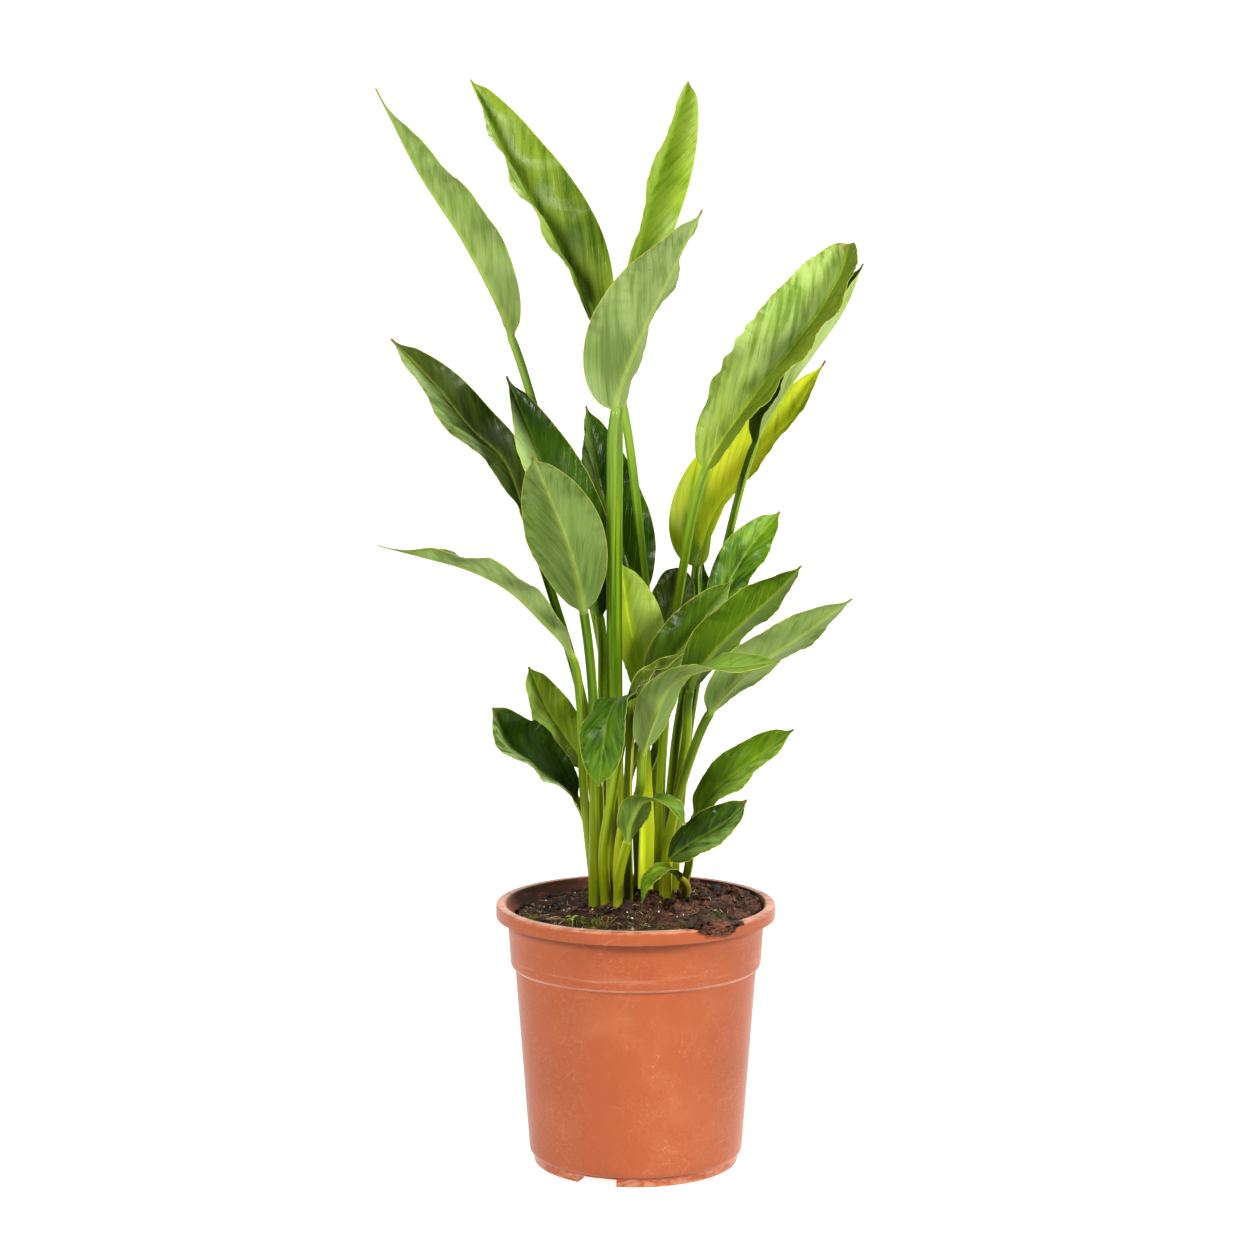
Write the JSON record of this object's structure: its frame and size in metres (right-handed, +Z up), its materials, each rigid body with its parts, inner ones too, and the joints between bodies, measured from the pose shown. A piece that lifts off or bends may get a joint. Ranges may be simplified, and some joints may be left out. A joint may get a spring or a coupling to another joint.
{
  "type": "potted bird of paradise plant",
  "caption": "Young bird of paradise with long-stalked paddle-shaped leaves fanning out of soil in a round terracotta-coloured plastic nursery pot.",
  "frame": {"origin": "on the pot's axis, on the surface that the pot's foot ring stands on", "axes": "+Z up along the pot's axis, -Y toward the side that the picture shows, +X to its right"},
  "size_m": [0.36, 0.2549, 0.8115],
  "materials": {
    "pot": "matte moulded terracotta-coloured plastic, pale scuffs at the collar and foot",
    "soil": "dark, damp, fibrous potting soil with moss and pale specks",
    "leaf_deep": "glossy, saturated deep green upper side",
    "leaf_bright": "glossy mid green upper side",
    "leaf_pale": "satin grey-green underside",
    "leaf_yellow": "satin yellow-green, light coming through",
    "leaf_olive": "satin olive green",
    "leaf_mid": "satin mid green"
  },
  "bodies": {
    "root": {"pot": "pot", "soil": "soil", "leaf_tall_far_left": "leaf_pale", "leaf_tall_left": "leaf_bright", "leaf_tall_middle": "leaf_yellow", "leaf_tall_front": "leaf_pale", "leaf_olive_left": "leaf_olive", "leaf_dark_left": "leaf_deep", "leaf_pale_left": "leaf_pale", "leaf_long_drooping": "leaf_pale", "leaf_dark_behind": "leaf_deep", "leaf_large_right": "leaf_bright", "leaf_dark_right": "leaf_deep", "leaf_yellow_right": "leaf_yellow", "leaf_right_upright": "leaf_bright", "leaf_dark_glossy": "leaf_deep", "leaf_right_middle": "leaf_mid", "leaf_right_long": "leaf_pale", "leaf_twisted_front": "leaf_pale", "leaf_bent_front": "leaf_mid", "leaf_small_folded": "leaf_olive", "leaf_curled_small": "leaf_pale", "leaf_low_right": "leaf_bright", "leaf_lowest_right": "leaf_deep", "leaf_folded_low": "leaf_mid", "leaf_folded_left": "leaf_olive", "leaf_cupped_left": "leaf_deep", "leaf_young_centre": "leaf_yellow", "leaf_split_tip": "leaf_olive", "leaf_hidden_back": "leaf_deep"}
  },
  "joints": []
}
